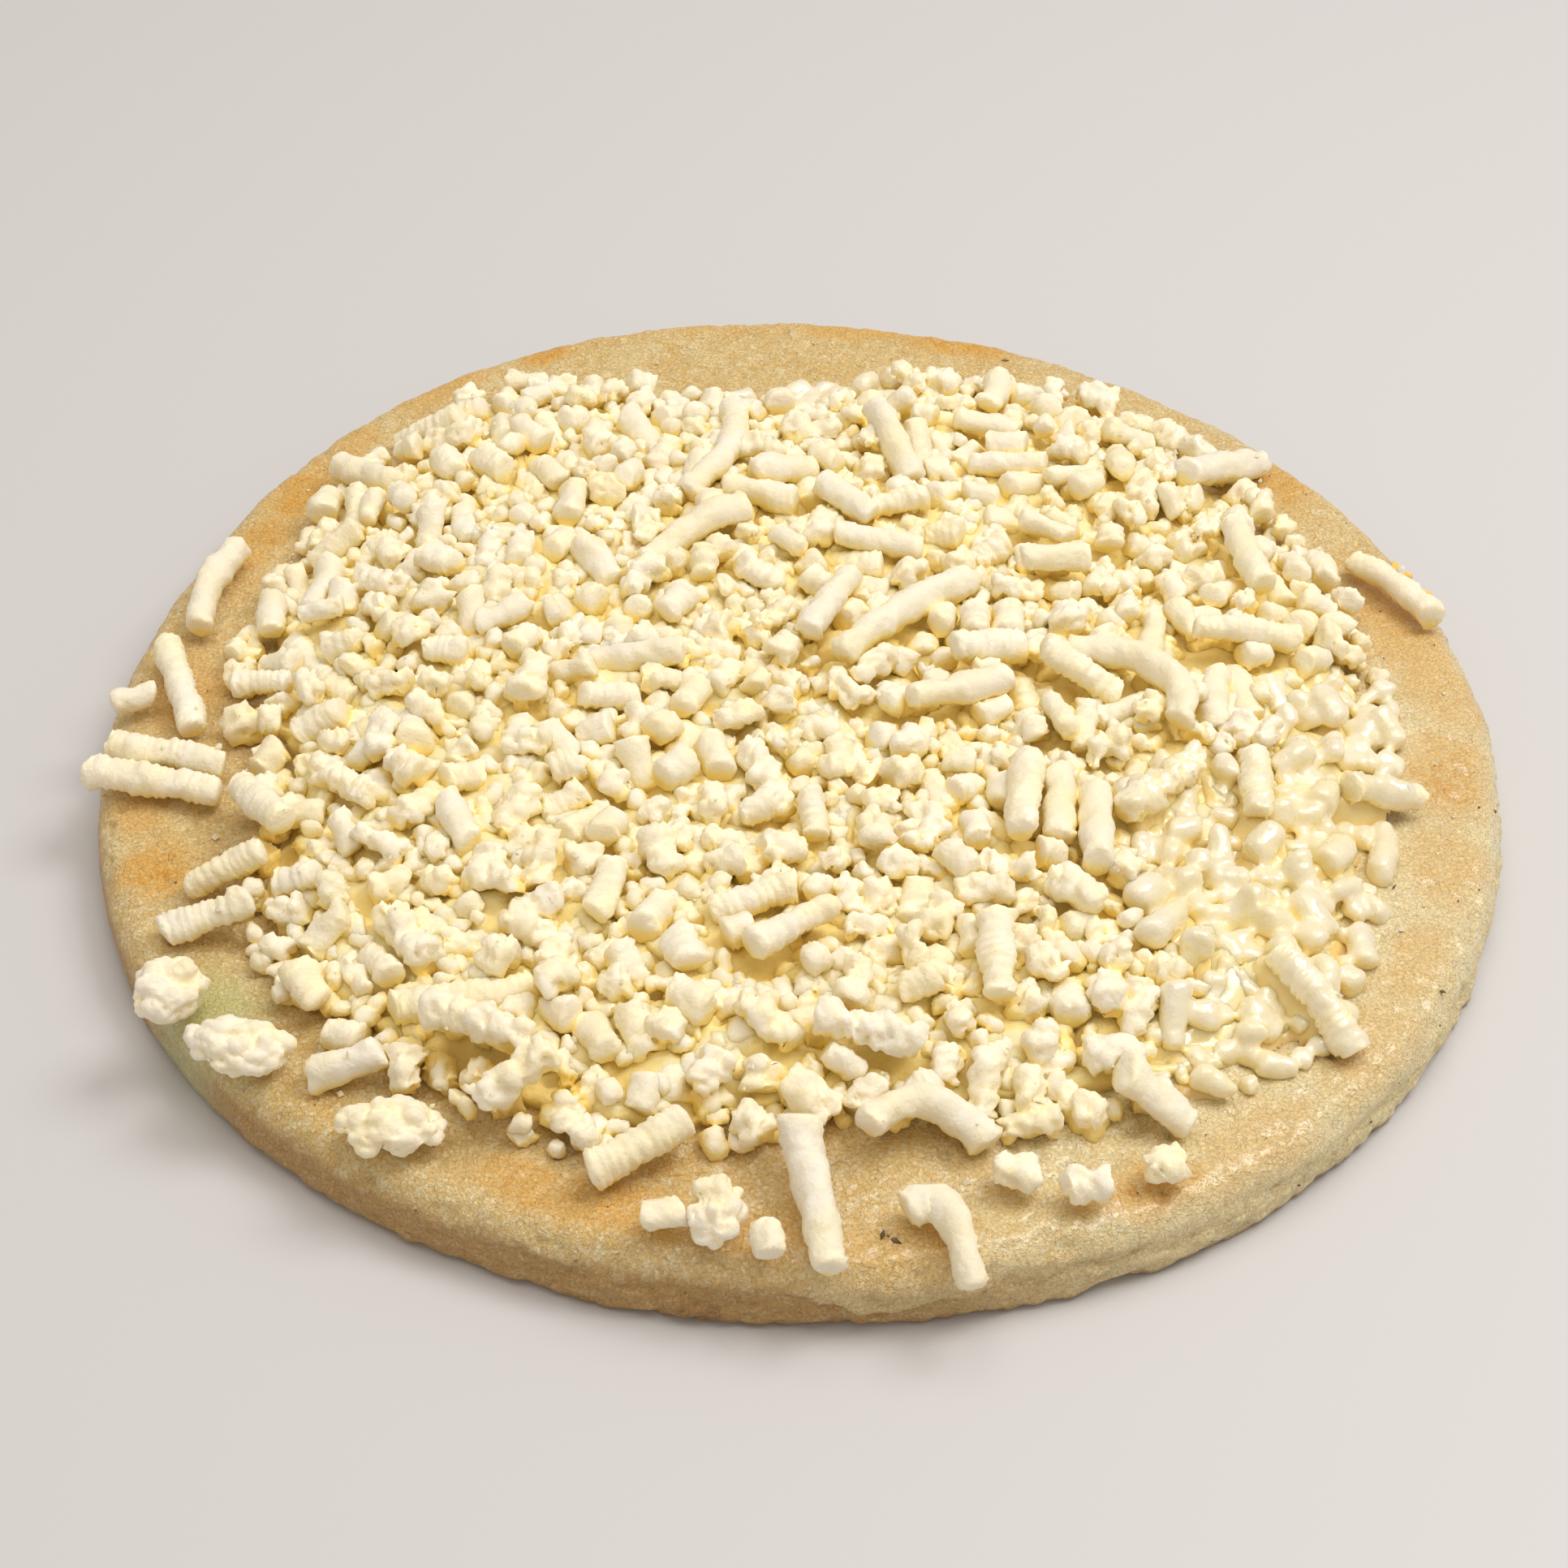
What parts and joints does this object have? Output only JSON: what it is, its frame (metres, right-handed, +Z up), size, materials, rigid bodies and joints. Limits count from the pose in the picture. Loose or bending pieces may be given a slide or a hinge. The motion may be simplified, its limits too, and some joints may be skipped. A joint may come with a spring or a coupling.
{
  "type": "arepa corn cake",
  "caption": "Round griddled corn cake with an uneven rounded rim, covered by a loose heap of milled white cheese strands, nubs and crumbs.",
  "frame": {"origin": "on the base, under the middle of the whole", "axes": "+Z up through the thickness; -Y is the side that faces the viewer, +X to the right"},
  "size_m": [0.1668, 0.1749, 0.0201],
  "materials": {
    "crust": "griddled corn dough: pale gold, granular and faintly oily, with golden-orange patches near the rim and a paler torn side",
    "cheese": "milled fresh white cheese: ivory, matte and finely granular, slightly translucent, buttery and glossy where it has begun to melt"
  },
  "bodies": {
    "root": {"corn_cake": "crust", "cheese_heap": "cheese", "front_long_strand": "cheese", "front_hooked_strand": "cheese", "front_nub": "cheese", "front_pellet": "cheese", "front_lump": "cheese", "front_chunk_left": "cheese", "front_chunk_middle": "cheese", "front_chunk_right": "cheese", "front_left_lump": "cheese", "left_front_lump": "cheese", "left_rim_lump": "cheese", "left_upper_strand": "cheese", "left_lower_strand": "cheese", "left_forked_strand": "cheese", "left_stub": "cheese", "back_left_strand": "cheese", "right_rim_strand": "cheese"}
  },
  "joints": []
}
